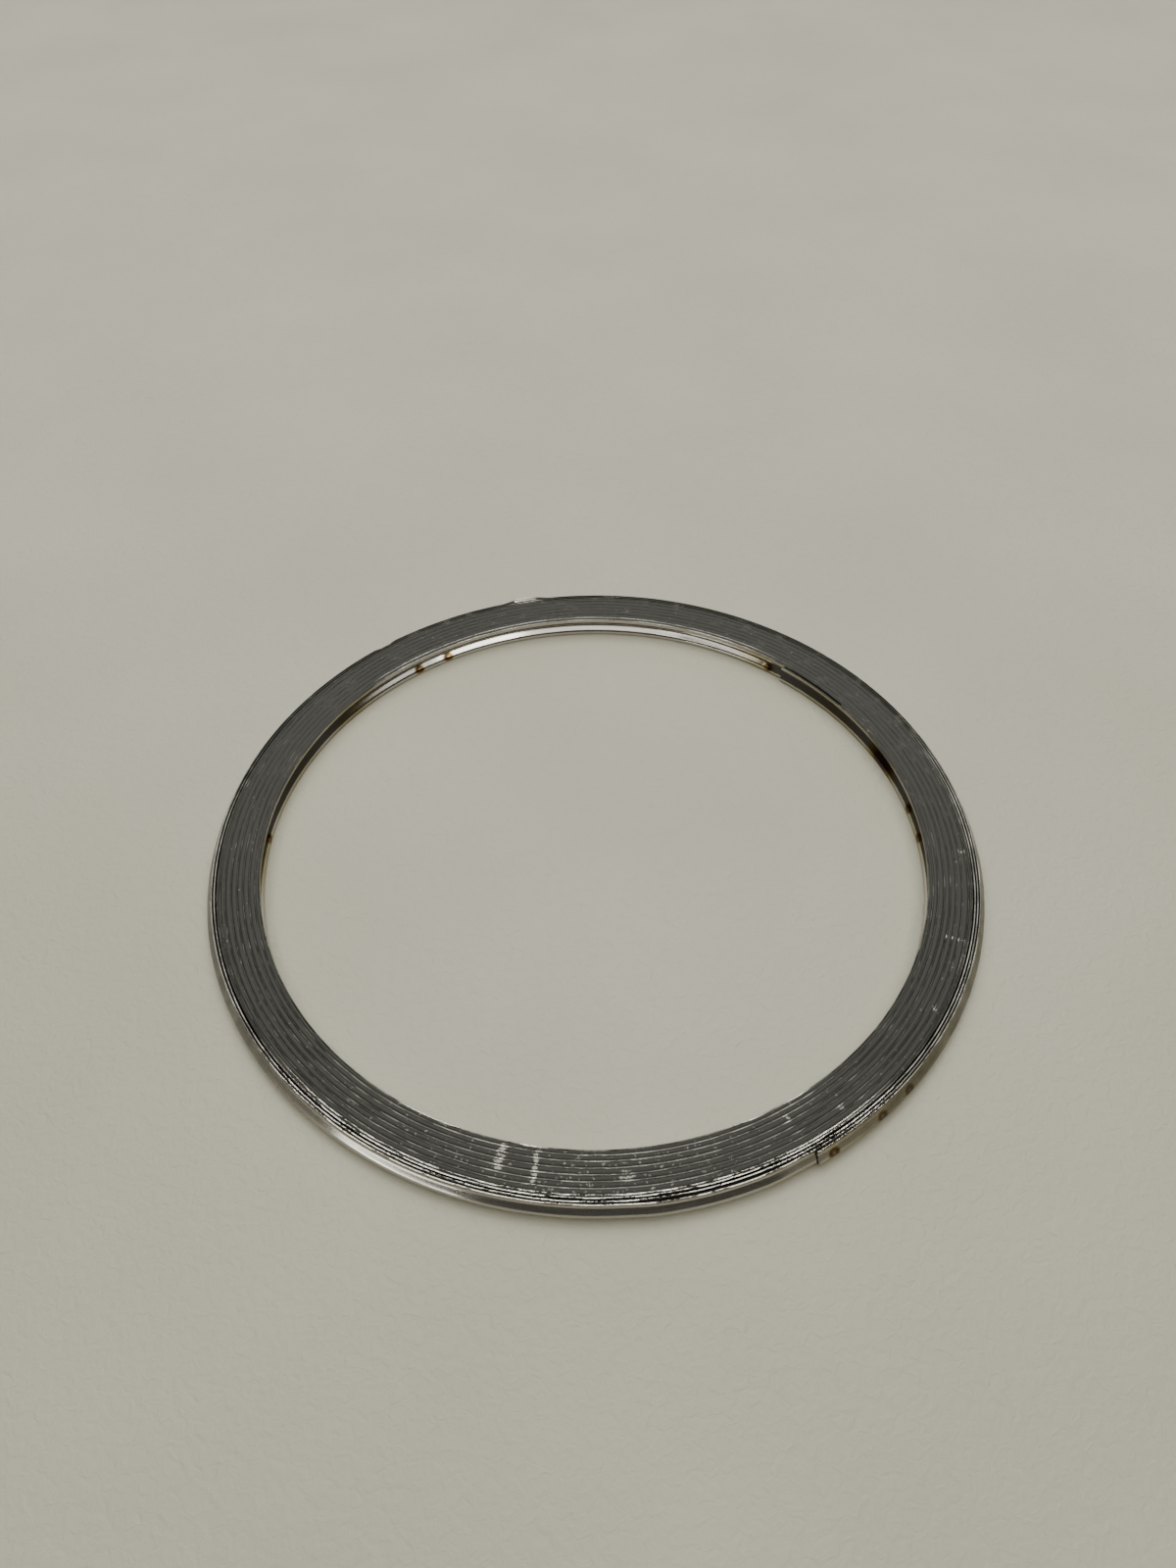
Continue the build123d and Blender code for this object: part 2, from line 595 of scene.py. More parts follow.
def per_metre(size_mm: float) -> float:
    """Texture scale on Object coordinates that makes one cell that many millimetres."""
    return 1.0 / (size_mm * MM)


@dataclass(frozen=True)
class ColdRolledStainless:
    """Cold-rolled stainless strip, slit to width.

    Rolling leaves fine streaks along the strip and a soft mirror in its walls. Slitting
    leaves bright, broken edges. Heat from the spot welds leaves straw, brown and blue.
    """

    clean: str = "#C0BCB6"
    straw: str = "#958858"
    brown: str = "#604533"
    blue: str = "#38405A"
    black: str = "#1C1B20"
    # Colour of the graphite film, also used as painted shade on the outermost wall.
    film: str = "#393834"
    roughness: float = 0.13
    # Streaks are really 0.02 mm wide; drawn 0.12 mm wide, so that they show.
    streak_width: float = 0.12
    streak_length: float = 6.0
    burr_size: float = 0.35
    blotch_size: float = 2.5
    relief_depth: float = 0.1
    streak_relief: float = 0.012
    # What a full cover of graphite, or of the outermost wall's painted shade, adds to the roughness
    # and takes from the metal.
    film_roughness: float = 0.28
    film_metal_loss: float = 0.55

    def make(self) -> bpy.types.Material:
        """Builds the material: tint, and film with painted shade, by attribute; streaks by the
        strip's own map.
        """
        material, tree = new_material("cold_rolled_stainless_strip")
        spot = add_node(tree, "ShaderNodeTexCoord")
        strip = add_node(tree, "ShaderNodeUVMap", uv_map="along_strip")
        traits = {
            trait: add_node(tree, "ShaderNodeAttribute", attribute_name=trait.value).outputs["Fac"]
            for trait in Trait
        }
        stretched = add_node(
            tree,
            "ShaderNodeMapping",
            {
                "Vector": strip.outputs["UV"],
                "Scale": (1 / self.streak_length, 1 / self.streak_width, 1.0),
            },
        )
        streaks = add_node(
            tree,
            "ShaderNodeTexNoise",
            {"Vector": stretched.outputs["Vector"], "Scale": 1.0, "Detail": 3.0, "Roughness": 0.6},
        )
        burrs = add_node(
            tree,
            "ShaderNodeTexNoise",
            {"Vector": spot.outputs["Object"], "Scale": per_metre(self.burr_size), "Detail": 3.0},
        )
        blotches = add_node(
            tree,
            "ShaderNodeTexNoise",
            {
                "Vector": spot.outputs["Object"],
                "Scale": per_metre(self.blotch_size),
                "Detail": 4.0,
                "Roughness": 0.65,
            },
        )
        ragged = add_node(
            tree,
            "ShaderNodeMath",
            {0: blotches.outputs["Fac"], 1: 0.5},
            operation="SUBTRACT",
        )
        oxide = add_node(
            tree,
            "ShaderNodeMath",
            {0: ragged.outputs[0], 1: traits[Trait.OXIDE], 2: traits[Trait.OXIDE]},
            operation="MULTIPLY_ADD",
        )
        tint = add_node(
            tree,
            "ShaderNodeValToRGB",
            {"Fac": oxide.outputs[0]},
            stops=(
                (0.0, self.clean),
                (0.28, self.straw),
                (0.52, self.brown),
                (0.78, self.blue),
                (1.0, self.black),
            ),
        )
        patchy = add_node(
            tree,
            "ShaderNodeMapRange",
            {
                "Value": blotches.outputs["Fac"],
                "From Min": 0.36,
                "From Max": 0.6,
                "To Min": 0.84,
                "To Max": 1.25,
            },
        )
        # Graphite film and the outermost wall's painted shade, made patchy by the blotches.
        film = add_node(
            tree,
            "ShaderNodeMath",
            {0: patchy.outputs["Result"], 1: traits[Trait.FILM_AND_SHADE]},
            operation="MULTIPLY",
            use_clamp=True,
        )
        cover = add_node(
            tree,
            "ShaderNodeMath",
            {0: film.outputs[0], 1: traits[Trait.SCUFF_AND_GLINT]},
            operation="SUBTRACT",
            use_clamp=True,
        )
        colour = add_node(
            tree,
            "ShaderNodeMix",
            {"Factor": cover.outputs[0], "A": tint.outputs["Color"], "B": srgb(self.film)},
            data_type="RGBA",
        )
        dull = add_node(
            tree,
            "ShaderNodeMapRange",
            {
                "Value": streaks.outputs["Fac"],
                "From Min": 0.3,
                "From Max": 0.7,
                "To Min": self.roughness - 0.06,
                "To Max": self.roughness + 0.08,
            },
        )
        roughness = add_node(
            tree,
            "ShaderNodeMath",
            {0: cover.outputs[0], 1: self.film_roughness, 2: dull.outputs["Result"]},
            operation="MULTIPLY_ADD",
        )
        metallic = add_node(
            tree,
            "ShaderNodeMath",
            {0: cover.outputs[0], 1: -self.film_metal_loss, 2: 1.0},
            operation="MULTIPLY_ADD",
        )
        rough_edge = add_node(
            tree,
            "ShaderNodeMath",
            {0: burrs.outputs["Fac"], 1: traits[Trait.CUT_EDGE]},
            operation="MULTIPLY",
        )
        relief = add_node(
            tree,
            "ShaderNodeMath",
            {0: streaks.outputs["Fac"], 1: self.streak_relief, 2: rough_edge.outputs[0]},
            operation="MULTIPLY_ADD",
        )
        bump = add_node(
            tree,
            "ShaderNodeBump",
            {"Height": relief.outputs[0], "Distance": self.relief_depth * MM, "Strength": 1.0},
        )
        shader = add_node(
            tree,
            "ShaderNodeBsdfPrincipled",
            {
                "Base Color": colour.outputs["Result"],
                "Metallic": metallic.outputs[0],
                "Roughness": roughness.outputs[0],
                "Normal": bump.outputs["Normal"],
            },
        )
        add_node(tree, "ShaderNodeOutputMaterial", {"Surface": shader.outputs["BSDF"]})
        return material


@dataclass(frozen=True)
class FlexibleGraphite:
    """Flexible graphite tape, pressed flat.

    Pressed flakes give a dark grey with a dull metal gloss, finely drawn out along the
    tape, and paler where it is rubbed; the pale patches are partly painted glints.
    """

    deep: str = "#242321"
    worn: str = "#353430"
    # Pale colour of rubbed graphite, also painted glints and sparkle on the front face.
    rubbed_and_glints: str = "#C4C0B7"
    roughness: float = 0.55
    # Flakes are really 0.05 mm wide; drawn 0.25 mm wide, so that they show.
    flake_size: float = 0.25
    drag_length: float = 0.8
    blotch_size: float = 2.4
    speck_size: float = 0.5
    gloss: float = 0.42
    relief_depth: float = 0.02
    # How far a rubbed patch or painted glint lifts the specks towards the pale colour.
    rub_and_glint_lift: float = 0.42

    def make(self) -> bpy.types.Material:
        """Builds the material: flakes drawn along the tape, blotches, and rubbed patches that are
        partly painted glints.
        """
        material, tree = new_material("flexible_graphite_tape")
        spot = add_node(tree, "ShaderNodeTexCoord")
        tape = add_node(tree, "ShaderNodeUVMap", uv_map="along_strip")
        scuff_and_glint = add_node(tree, "ShaderNodeAttribute", attribute_name=Trait.SCUFF_AND_GLINT.value)
        stretched = add_node(
            tree,
            "ShaderNodeMapping",
            {
                "Vector": tape.outputs["UV"],
                "Scale": (1 / self.drag_length, 1 / self.flake_size, 1.0),
            },
        )
        flakes = add_node(
            tree,
            "ShaderNodeTexNoise",
            {"Vector": stretched.outputs["Vector"], "Scale": 1.0, "Detail": 4.0, "Roughness": 0.7},
        )
        blotches = add_node(
            tree,
            "ShaderNodeTexNoise",
            {"Vector": spot.outputs["Object"], "Scale": per_metre(self.blotch_size), "Detail": 3.0},
        )
        grains = add_node(
            tree,
            "ShaderNodeTexNoise",
            {"Vector": spot.outputs["Object"], "Scale": per_metre(self.flake_size), "Detail": 3.0},
        )
        specks = add_node(
            tree,
            "ShaderNodeTexNoise",
            {"Vector": spot.outputs["Object"], "Scale": per_metre(self.speck_size), "Detail": 3.0},
        )
        lifted = add_node(
            tree,
            "ShaderNodeMath",
            {0: scuff_and_glint.outputs["Fac"], 1: self.rub_and_glint_lift, 2: specks.outputs["Fac"]},
            operation="MULTIPLY_ADD",
        )
        rubbed_and_glints = add_node(
            tree,
            "ShaderNodeMapRange",
            {"Value": lifted.outputs[0], "From Min": 0.68, "From Max": 0.88},
        )
        mixed = add_node(
            tree,
            "ShaderNodeMix",
            {"Factor": 0.5, "A": flakes.outputs["Fac"], "B": blotches.outputs["Fac"]},
            data_type="FLOAT",
        )
        shade = add_node(
            tree,
            "ShaderNodeValToRGB",
            {"Fac": mixed.outputs["Result"]},
            stops=((0.36, self.deep), (0.66, self.worn)),
        )
        colour = add_node(
            tree,
            "ShaderNodeMix",
            {
                "Factor": rubbed_and_glints.outputs["Result"],
                "A": shade.outputs["Color"],
                "B": srgb(self.rubbed_and_glints),
            },
            data_type="RGBA",
        )
        roughness = add_node(
            tree,
            "ShaderNodeMapRange",
            {
                "Value": mixed.outputs["Result"],
                "From Min": 0.35,
                "From Max": 0.65,
                "To Min": self.roughness - 0.08,
                "To Max": self.roughness + 0.1,
            },
        )
        relief = add_node(
            tree,
            "ShaderNodeMath",
            {0: grains.outputs["Fac"], 1: flakes.outputs["Fac"]},
            operation="ADD",
        )
        bump = add_node(
            tree,
            "ShaderNodeBump",
            {"Height": relief.outputs[0], "Distance": self.relief_depth * MM, "Strength": 1.0},
        )
        shader = add_node(
            tree,
            "ShaderNodeBsdfPrincipled",
            {
                "Base Color": colour.outputs["Result"],
                "Specular IOR Level": self.gloss,
                "Roughness": roughness.outputs["Result"],
                "Normal": bump.outputs["Normal"],
            },
        )
        add_node(tree, "ShaderNodeOutputMaterial", {"Surface": shader.outputs["BSDF"]})
        return material


@dataclass(frozen=True)
class SpotWeldedSteel:
    """Stainless fused by a resistance weld: a dull dimple, brown to blue with heat."""

    hot: str = "#2A2426"
    warm: str = "#6A4A34"
    roughness: float = 0.45
    scale_size: float = 0.4
    relief_depth: float = 0.03

    def make(self) -> bpy.types.Material:
        """Builds the material: oxide blotches over a pitted surface."""
        material, tree = new_material("spot_welded_stainless")
        spot = add_node(tree, "ShaderNodeTexCoord")
        oxide = add_node(
            tree,
            "ShaderNodeTexNoise",
            {"Vector": spot.outputs["Object"], "Scale": per_metre(self.scale_size), "Detail": 4.0},
        )
        shade = add_node(
            tree,
            "ShaderNodeValToRGB",
            {"Fac": oxide.outputs["Fac"]},
            stops=((0.35, self.hot), (0.65, self.warm)),
        )
        bump = add_node(
            tree,
            "ShaderNodeBump",
            {"Height": oxide.outputs["Fac"], "Distance": self.relief_depth * MM},
        )
        shader = add_node(
            tree,
            "ShaderNodeBsdfPrincipled",
            {
                "Base Color": shade.outputs["Color"],
                "Metallic": 1.0,
                "Roughness": self.roughness,
                "Normal": bump.outputs["Normal"],
            },
        )
        add_node(tree, "ShaderNodeOutputMaterial", {"Surface": shader.outputs["BSDF"]})
        return material


@dataclass(frozen=True)
class GrainedVinyl:
    """Pale grey-beige vinyl on the table top: a faint pressed grain and a soft sheen."""

    pale: str = "#CDCABA"
    shade: str = "#C5C2B2"
    roughness: float = 0.5
    grain_size: float = 1.3
    cloud_size: float = 45.0
    relief_depth: float = 0.2

    def make(self) -> bpy.types.Material:
        """Builds the material: clouds of two near colours, and a wrinkled grain."""
        material, tree = new_material("grained_vinyl")
        spot = add_node(tree, "ShaderNodeTexCoord")
        clouds = add_node(
            tree,
            "ShaderNodeTexNoise",
            {"Vector": spot.outputs["Object"], "Scale": per_metre(self.cloud_size), "Detail": 3.0},
        )
        grain = add_node(
            tree,
            "ShaderNodeTexNoise",
            {
                "Vector": spot.outputs["Object"],
                "Scale": per_metre(self.grain_size),
                "Detail": 3.0,
                "Distortion": 0.8,
            },
        )
        shade = add_node(
            tree,
            "ShaderNodeValToRGB",
            {"Fac": clouds.outputs["Fac"]},
            stops=((0.3, self.shade), (0.7, self.pale)),
        )
        bump = add_node(
            tree,
            "ShaderNodeBump",
            {"Height": grain.outputs["Fac"], "Distance": self.relief_depth * MM},
        )
        shader = add_node(
            tree,
            "ShaderNodeBsdfPrincipled",
            {
                "Base Color": shade.outputs["Color"],
                "Roughness": self.roughness,
                "Normal": bump.outputs["Normal"],
            },
        )
        add_node(tree, "ShaderNodeOutputMaterial", {"Surface": shader.outputs["BSDF"]})
        return material


# ---------------------------------------------------------------------------------------
# The steel strip
# ---------------------------------------------------------------------------------------
INNER_RUN = "steel_inner_plies"
OUTER_RUN = "steel_outer_turn"


@dataclass(frozen=True)
class SteelRun:
    """One stretch of the steel strip, which is one piece, and how finely it is drawn."""

    name: str
    start: float
    end: float
    step: float
    face_points: int


@dataclass
class HoopStrip:
    """The steel strip, in stretches: plain inner plies, filled turns, plain outer plies."""

    winding: Winding
    section: StripSection
    edge_waviness: float = 0.016
    wall_waviness: float = 0.012
    # The last turn springs away over this stretch, in degrees past its start.
    sprung_by: float = 0.17
    sprung_from: float = 7.0
    sprung_to: float = 20.0
    sprung_slope: float = 6.0
    # The strip's cut end leans back over its last degrees, and lifts off the turn inside.
    cut_slant: float = 0.2
    cut_reach: float = 1.5
    end_lift: float = 0.08
    end_reach: float = 7.0
    # A dent is flat across its middle, and bends the lip above this share of the height.
    dent_flatness: float = 1.6
    dent_from: float = 0.25
    weld_radius: float = 0.75
    weld_stretch: float = 1.5
    weld_depth: float = 0.05
    pieces: list[bpy.types.Object] = field(default_factory=list)

    def runs(self) -> tuple[SteelRun, ...]:
        """The stretches; the first and the last show a whole wall, and are finer."""
        path = self.winding
        filled_end = path.filled_to + HALF_TURN
        last_turn = path.end - TURN - 10.0
        return (
            SteelRun(INNER_RUN, 0.0, path.filled_from, 0.30, 17),
            SteelRun("steel_filled_turns", path.filled_from, filled_end, 0.45, 8),
            SteelRun("steel_outer_plies", filled_end, last_turn, 0.28, 9),
            SteelRun(OUTER_RUN, last_turn, path.end, 0.20, 21),
        )

    def shape(
        self, run: SteelRun, travel: np.ndarray, ring: SectionRing
    ) -> tuple[np.ndarray, np.ndarray, np.ndarray]:
        """Travel, distance out and height of each point, with edge wear and dents.

        Formula: the section's own outline, plus smooth noise along the cut edges, plus a
        hill for each dent, weld dimple and sprung stretch.

        Args:
            run: The stretch that is shaped.
            travel: Travel of each ring.
            ring: Outline of the section.

        Returns:
            Three grids, shaped (rings, points).
        """
        at, out = np.meshgrid(travel, ring.out, indexing="ij")
        up = np.broadcast_to(ring.up, out.shape).copy()
        # The inner and outer corner of a cut edge read the second noise far apart.
        side = np.sign(ring.across)
        burr = smooth_noise(at, 1.9, 11) + 0.4 * smooth_noise(at + 5000.0 * side, 3.1, 14)
        up += self.edge_waviness * np.clip(ring.edge, -0.5, 0.5) * burr
        up -= self.edge_waviness * ring.edge * 0.5
        out = out + 0.6 * self.edge_waviness * np.abs(ring.edge) * smooth_noise(at, 2.3, 12)
        out = out - self.wall_waviness * (1.0 + smooth_noise(at, 9.0, 13))
        if run.name == OUTER_RUN:
            return self.loose_turn(at, out, up)
        if run.name == INNER_RUN:
            azimuth = self.winding.azimuth(at)
            out = out + self.dimples(azimuth, up, INNER_WELDS) * (at < TURN)
        return at, out, up

    def loose_turn(
        self, at: np.ndarray, out: np.ndarray, up: np.ndarray
    ) -> tuple[np.ndarray, np.ndarray, np.ndarray]:
        """Springs, cuts, dents and dimples the last turn.

        Formula: the sprung stretch is a plateau, and the end lifts and leans by a smooth
        step. A dent is a hill, cut off flat, that grows up the lip with the power 1.5 of
        the height; the cut leans with its cube.

        Args:
            at: Travel of each point.
            out: Distance outwards of each point.
            up: Height of each point.

        Returns:
            The same three grids, changed.
        """
        azimuth = self.winding.azimuth(at)
        rise = (up - self.section.middle) / (self.section.height / 2)
        to_end = at - self.winding.end
        loose = self.winding.end - TURN
        sprung = plateau(at, loose + self.sprung_from, loose + self.sprung_to, self.sprung_slope)
        out = out + self.sprung_by * sprung
        out = out + self.end_lift * ease((to_end + self.end_reach) / self.end_reach)
        lean = ease((to_end + self.cut_reach) / self.cut_reach) * (0.5 + 0.5 * rise) ** 3
        last = at > loose
        at = at - self.cut_slant * lean
        lip = np.clip((rise - self.dent_from) / (1.0 - self.dent_from), 0.0, 1.0) ** 1.5
        for dent in LIP_DENTS:
            away = angle_from(azimuth, dent.azimuth)
            bend = np.minimum(self.dent_flatness * hill(away, 0.0, dent.reach), 1.0) * lip * last
            out = out + dent.outwards * bend
            up = up + dent.upwards * bend
        return at, out - self.dimples(azimuth, up, OUTER_WELDS) * last, up

    def dimples(self, azimuth: np.ndarray, up: np.ndarray, row: WeldRow) -> np.ndarray:
        """Depth of the spot welds' dimples, each a long hill about its middle."""
        depth = np.zeros_like(azimuth)
        for weld in row.azimuths:
            along = np.radians(angle_from(azimuth, weld)) * row.radius / self.weld_stretch
            depth += hill(np.hypot(along, up - row.height), 0.0, self.weld_radius)
        return self.weld_depth * depth

    def oxide(self, run: SteelRun, ring: SectionRing, at: np.ndarray, up: np.ndarray) -> np.ndarray:
        """Depth of the oxide tint on the wall that shows, weld marks included.

        Formula: the deepest tint or weld mark. A mark is a parabola of the dimple's depth,
        so it is darkest round its middle.

        Args:
            run: The stretch that is tinted.
            ring: Outline of the section.
            at: Travel of each point.
            up: Height of each point.

        Returns:
            Depths between 0 and 1, shaped (rings, points).
        """
        inner = run.name == INNER_RUN
        tints, welds = (INNER_TINTS, INNER_WELDS) if inner else (OUTER_TINTS, OUTER_WELDS)
        azimuth = self.winding.azimuth(at)
        depth = np.zeros_like(azimuth)
        for tint in tints:
            depth = np.maximum(depth, tint.on(azimuth, up))
        mark = np.clip(self.dimples(azimuth, up, welds) / self.weld_depth, 0.0, 1.0)
        depth = np.maximum(depth, 2.0 * mark * (1.0 - 0.85 * mark))
        shows = ring.across < 0 if inner else ring.across > 0
        turn = at < TURN + 20.0 if inner else at > self.winding.end - TURN
        return depth * shows * turn

    def traits(
        self, run: SteelRun, ring: SectionRing, at: np.ndarray, points: np.ndarray
    ) -> dict[Trait, np.ndarray]:
        """What the material reads at each point: oxide, graphite film with the outer wall's painted
        shade, scuffs with painted glints, cut edge.

        Args:
            run: The stretch that is finished.
            ring: Outline of the section.
            at: Travel of each point.
            points: Place of each point, in millimetres.

        Returns:
            Values between 0 and 1, shaped (rings, points).
        """
        azimuth = self.winding.azimuth(at)
        radius = self.winding.radius_of(points)
        tip = np.abs(ring.edge)
        # Painted shade on the outer face of the last two turns, carried with the film.
        painted_shade = outer_wall_painted_shade(azimuth) * (ring.across > 0) * (at > self.winding.end - 2.0 * TURN)
        tinted = run.name in (INNER_RUN, OUTER_RUN)
        film = graphite_film(azimuth, radius) * np.clip(tip * 2.0, 0.0, 1.0)
        return {
            Trait.OXIDE: self.oxide(run, ring, at, points[..., 2]) if tinted else np.zeros_like(at),
            Trait.FILM_AND_SHADE: np.maximum(film, painted_shade),
            Trait.SCUFF_AND_GLINT: scuffs_and_glints_on(azimuth, radius) * tip,
            Trait.CUT_EDGE: tip,
        }

    def build(self) -> None:
        """Makes the stretches of the strip."""
        for run in self.runs():
            travel = np.linspace(run.start, run.end, int((run.end - run.start) / run.step) + 1)
            ring = self.section.ring(run.face_points)
            at, out, up = self.shape(run, travel, ring)
            points = self.winding.place(at, out, up)
            uv = strip_uv(travel, self.winding.inner_radius, ring)
            piece = swept_mesh(run.name, points, uv, self.traits(run, ring, at, points))
            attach(piece, BODY)
            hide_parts("hoop_strip")
            self.pieces.append(piece)

    def dress(self, steel: bpy.types.Material) -> None:
        """Gives each stretch the steel."""
        for piece in self.pieces:
            piece.data.materials.append(steel)


# ---------------------------------------------------------------------------------------
# The graphite strip
# ---------------------------------------------------------------------------------------
@dataclass
class GraphiteStrip:
    """The graphite, which fills the V shaped gap between two turns of the steel."""

    winding: Winding
    section: StripSection
    height: float
    step: float = 0.24
    wall_points: int = 5
    crown_points: int = 8
    clearance: float = 0.004
    roughness: float = 0.020
    lead_in: float = 705.0
    run_out: float = 330.0
    names: tuple[str, ...] = (
        "graphite_inner_turns",
        "graphite_middle_turns",
        "graphite_outer_turns",
    )
    pieces: list[bpy.types.Object] = field(default_factory=list)

    def ring(self, count: int) -> SectionRing:
        """Outline of the fill: inner wall up, top, outer wall down, underside.

        Across is 0 on the inner wall and 1 on the outer one. The distances outwards are
        those of the wall that each point lies on; points between have the mix of both.
        """
        inner_out, inner_up = self.section.face(1.0, self.wall_points)
        outer_out, outer_up = self.section.face(-1.0, self.wall_points)
        share = np.linspace(0.0, 1.0, count + 2)[1:-1]
        top_out = inner_out[-1] * (1 - share) + outer_out[-1] * share
        foot_out = inner_out[0] * (1 - share) + outer_out[0] * share
        half = count // 2
        out = np.concatenate(
            [foot_out[:half][::-1], inner_out, top_out, outer_out[::-1], foot_out[half:][::-1]]
        )
        crown = np.full(count, self.section.top)
        foot = np.full(count, 2 * self.section.middle - self.section.top)
        up = np.concatenate([foot[:half], inner_up, crown, outer_up[::-1], foot[half:]])
        flat = np.zeros(self.wall_points)
        across = np.concatenate([share[:half][::-1], flat, share, flat + 1.0, share[half:][::-1]])
        proud = 4.0 * share * (1.0 - share)
        edge = np.concatenate([-proud[:half][::-1], flat, proud, flat, -proud[half:][::-1]])
        return SectionRing(out, up, edge, across)

    def build(self) -> None:
        """Makes the fill in stretches, each closed at its ends.

        The tape runs on past the wide turns at both ends, in the narrow gap between the
        plain plies.
        """
        knots = np.linspace(
            self.winding.filled_from - self.lead_in,
            self.winding.filled_to + self.run_out,
            len(self.names) + 1,
        )
        for name, start, end in zip(self.names, knots[:-1], knots[1:]):
            travel = np.linspace(start, end, int((end - start) / self.step) + 1)
            self.pieces.append(self.stretch(name, travel))

    def stretch(self, name: str, travel: np.ndarray) -> bpy.types.Object:
        """One stretch of the fill.

        Formula: each point is the mix of its place on the turn inside and its place one
        turn further out; the top and underside swell by a parabola, roughened by noise.

        Args:
            name: Name of the piece.
            travel: Travel of each ring.

        Returns:
            The piece.
        """
        ring = self.ring(self.crown_points)
        at, out = np.meshgrid(travel, ring.out, indexing="ij")
        proud = self.height / 2 - self.section.height / 2
        near_side, far_side, middle = (smooth_noise(at, 0.9, seed) for seed in (21, 22, 23))
        lumps = near_side * (1.0 - ring.across) + far_side * ring.across + middle * ring.edge
        # Lumps lie between -2 and 2, so the top never stands above the tape's height.
        swell = ring.edge * (proud - self.roughness * (0.6 + 0.28 * lumps))
        up = ring.up + swell
        near = self.winding.place(at, out + self.clearance, up)
        far = self.winding.place(at + TURN, out - self.clearance, up)
        share = ring.across[:, None]
        points = near * (1.0 - share) + far * share
        azimuth = self.winding.azimuth(at)
        # Rubbed patches, and pale painted glints on the fill.
        scuffs_and_glints = scuffs_and_glints_on(azimuth, self.winding.radius_of(points))
        traits = {Trait.SCUFF_AND_GLINT: scuffs_and_glints * np.abs(ring.edge)}
        piece = swept_mesh(name, points, strip_uv(travel, self.winding.inner_radius, ring), traits)
        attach(piece, BODY)
        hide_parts("filler_strip")
        return piece

    def dress(self, graphite: bpy.types.Material) -> None:
        """Gives each stretch the graphite."""
        for piece in self.pieces:
            piece.data.materials.append(graphite)


@dataclass
class SpotWelds:
    """The fused spots between plies, which are the frame's own solids."""

    nodes: list[bpy.types.Object] = field(default_factory=list)

    def build(self) -> None:
        """Finds the welds among the frame's nodes."""
        self.nodes = [node for name, node in frame["nodes"].items() if "weld" in name]

    def dress(self, weld: bpy.types.Material) -> None:
        """Gives each weld its finish."""
        for node in self.nodes:
            node.data.materials.clear()
            node.data.materials.append(weld)


# ---------------------------------------------------------------------------------------
# Table, lights and camera
# ---------------------------------------------------------------------------------------
class Use(Enum):
    """What a light is for: to light the scene, or only to show in reflections."""

    FILL = "fill"
    GLINTS = "glints"


@dataclass(frozen=True)
class Softbox:
    """A soft rectangular light, aimed at the object's middle."""

    name: str
    azimuth: float
    elevation: float
    distance: float
    width: float
    height: float
    power: float
    use: Use
    colour: str = "#FDFDF2"

    def build(self) -> None:
        """Sets up the light, at its distance in metres along its azimuth and elevation."""
        data = bpy.data.lights.new(self.name, "AREA")
        data.shape = "RECTANGLE"
        data.size, data.size_y = self.width, self.height
        data.energy = self.power
        data.color = srgb(self.colour)[:3]
        lamp = bpy.data.objects.new(self.name, data)
        turn, lift = math.radians(self.azimuth), math.radians(self.elevation)
        level = math.cos(lift)
        away = Vector((math.cos(turn) * level, math.sin(turn) * level, math.sin(lift)))
        lamp.location = away * self.distance
        lamp.rotation_euler = away.to_track_quat("Z", "Y").to_euler()
        lamp.visible_diffuse = self.use is Use.FILL
        lamp.visible_glossy = self.use is Use.GLINTS
        bpy.context.scene.collection.objects.link(lamp)


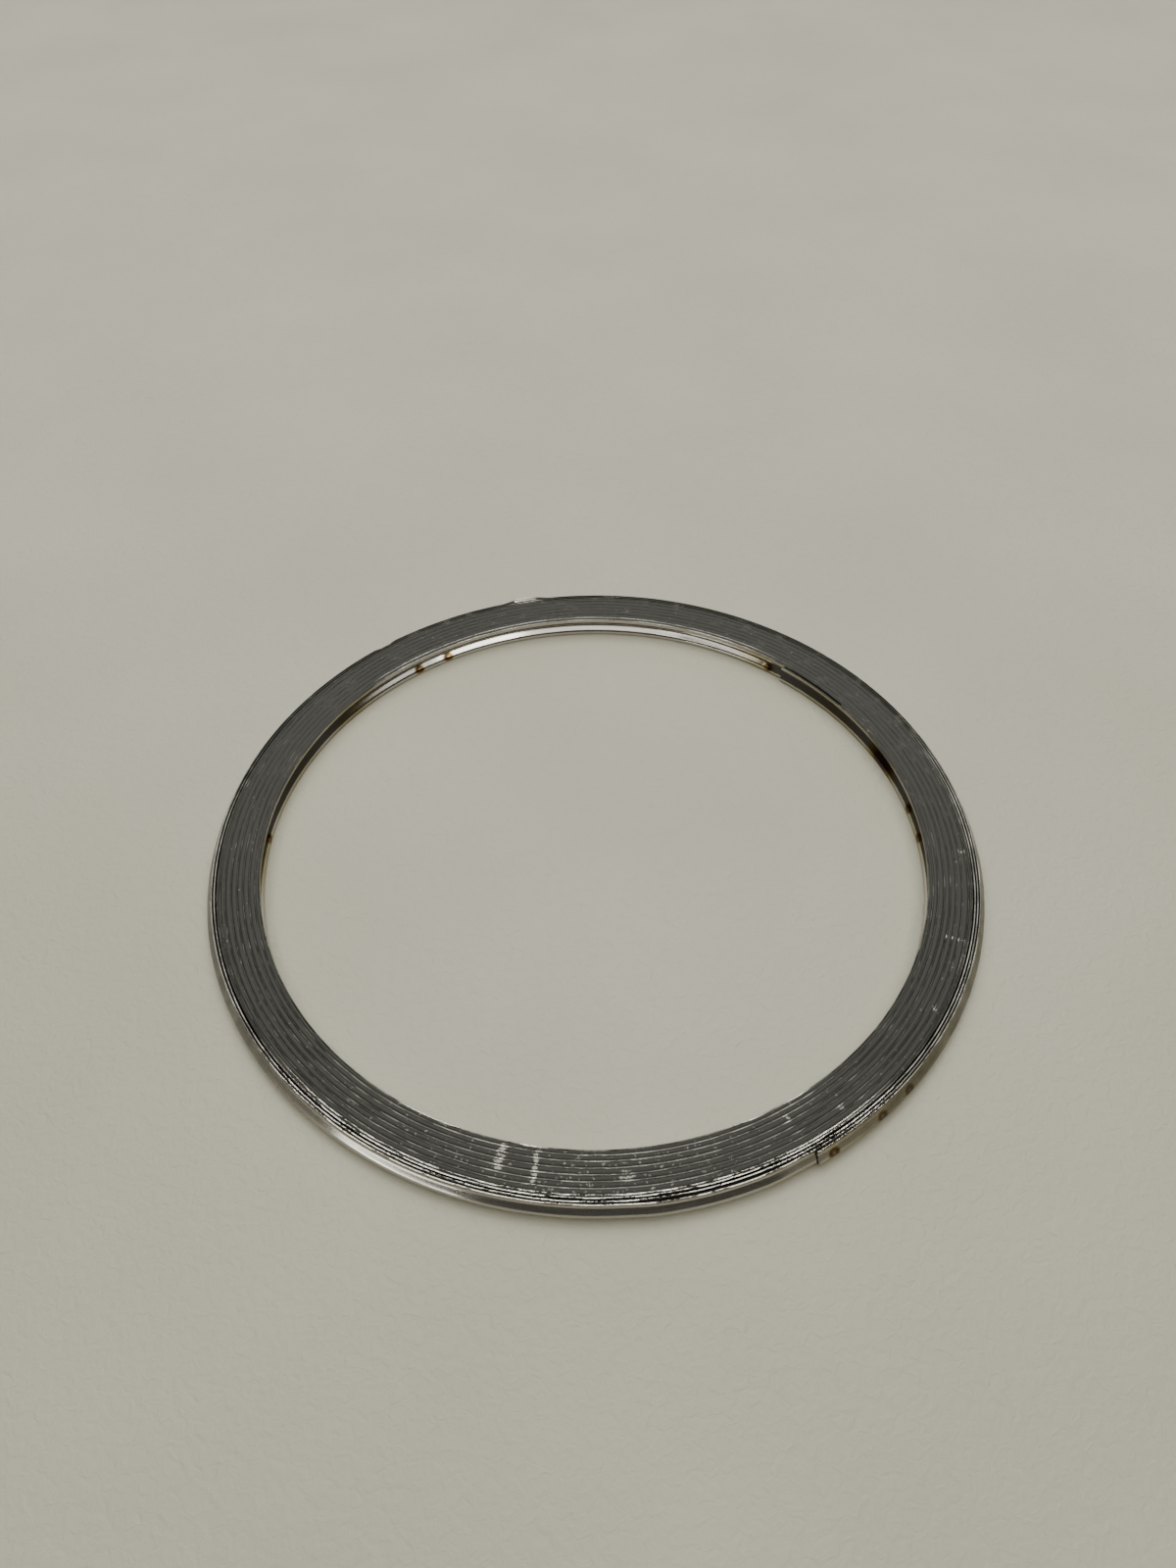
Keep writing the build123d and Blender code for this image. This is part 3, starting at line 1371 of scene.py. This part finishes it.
@dataclass
class Studio:
    """The table top, the soft lights and the camera."""

    table_size: float = 3.0
    world: str = "#66645F"
    world_strength: float = 0.45
    # Lens in millimetres, distance in metres, and angles in degrees.
    lens: float = 27.41
    camera_distance: float = 0.17294
    camera_elevation: float = 51.45
    yaw: float = 0.3199
    pitch: float = 3.1766
    roll: float = 0.1765
    # Azimuth, elevation, distance, width and height in metres, power in watts.
    lights: tuple[Softbox, ...] = (
        Softbox("ceiling_fill", 90.0, 84.0, 1.2, 1.7, 1.7, 20.5, Use.FILL),
        Softbox("pale_wall_behind", 90.0, 35.0, 1.6, 3.4, 1.2, 24.0, Use.GLINTS),
        Softbox("lamp_glint", 90.0, 66.0, 1.3, 0.62, 0.30, 5.0, Use.GLINTS),
        Softbox("front_middle_glint", -88.0, 39.0, 1.2, 1.1, 0.20, 1.3, Use.GLINTS),
        Softbox("front_window_glint", -50.0, 36.5, 1.2, 0.50, 0.26, 2.6, Use.GLINTS),
        Softbox("front_right_glint", -22.0, 32.0, 1.2, 0.50, 0.12, 0.3, Use.GLINTS),
        Softbox("front_left_glint", -130.0, 34.0, 1.2, 0.60, 0.14, 0.5, Use.GLINTS),
        Softbox("low_left_glint", -133.0, 2.6, 1.2, 0.6, 0.10, 1.2, Use.GLINTS),
        Softbox("low_right_glint", -26.0, 4.0, 1.2, 0.9, 0.16, 0.11, Use.GLINTS),
    )

    def build(self) -> None:
        """Sets up the table, the lights and the camera."""
        self.build_table()
        for light in self.lights:
            light.build()
        self.build_world()
        self.build_camera()

    def build_table(self) -> None:
        """A square table top at height 0, covered with vinyl."""
        half = self.table_size / 2
        mesh = bpy.data.meshes.new("table_top")
        corners = [(-half, -half, 0.0), (half, -half, 0.0), (half, half, 0.0), (-half, half, 0.0)]
        mesh.from_pydata(corners, [], [(0, 1, 2, 3)])
        top = bpy.data.objects.new("table_top", mesh)
        bpy.context.scene.collection.objects.link(top)
        mesh.materials.append(GrainedVinyl().make())
        top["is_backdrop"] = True

    def build_world(self) -> None:
        """An even, dim surround."""
        world = bpy.data.worlds.new("dim_room")
        world.use_nodes = True
        shade = world.node_tree.nodes["Background"]
        shade.inputs["Color"].default_value = srgb(self.world)
        shade.inputs["Strength"].default_value = self.world_strength
        bpy.context.scene.world = world

    def build_camera(self) -> None:
        """A wide phone lens, above and in front, aimed a little past the middle."""
        data = bpy.data.cameras.new("camera")
        data.lens = self.lens
        data.clip_start = 0.005
        camera = bpy.data.objects.new("camera", data)
        lift = math.radians(self.camera_elevation)
        back = Vector((0.0, -math.cos(lift), math.sin(lift)))
        right = Vector((1.0, 0.0, 0.0))
        up = right.cross(-back)
        forward, right = self.turned((-back, right), up, self.yaw)
        forward, up = self.turned((forward, up), right, self.pitch)
        right, up = self.turned((right, up), forward, self.roll)
        facing = Matrix((right, up, -forward)).transposed()
        camera.matrix_world = Matrix.Translation(back * self.camera_distance) @ facing.to_4x4()
        bpy.context.scene.collection.objects.link(camera)
        bpy.context.scene.camera = camera

    def turned(
        self, vectors: tuple[Vector, Vector], axis: Vector, angle: float
    ) -> tuple[Vector, Vector]:
        """Two directions, turned about an axis by an angle in degrees."""
        turn = Matrix.Rotation(math.radians(angle), 3, axis)
        return turn @ vectors[0], turn @ vectors[1]


def main() -> None:
    """Builds the gasket and its studio, and reports each piece."""
    logging.basicConfig(level=logging.INFO, format="%(message)s")
    bore = next(mount for mount in frame["record"]["mounts"] if mount["name"] == "inner_edge")
    axis_x, axis_y = (value / MM for value in bore["pos_m"][:2])
    winding = Winding(bore["dims"]["r_mm"], axis_x, axis_y)
    low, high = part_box("filler_strip")
    thickness = (high[2] - low[2]) / MM
    section = StripSection((high[2] + low[2]) / 2 / MM)
    hoop = HoopStrip(winding, section)
    graphite = GraphiteStrip(winding, section, thickness)
    welds = SpotWelds()
    hoop.build()
    hoop.dress(ColdRolledStainless().make())
    graphite.build()
    graphite.dress(FlexibleGraphite().make())
    welds.build()
    welds.dress(SpotWeldedSteel().make())
    Studio().build()
    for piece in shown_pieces():
        LOG.info("%s: %d vertices", piece.name, len(piece.data.vertices))


if __name__ == "__main__":
    main()
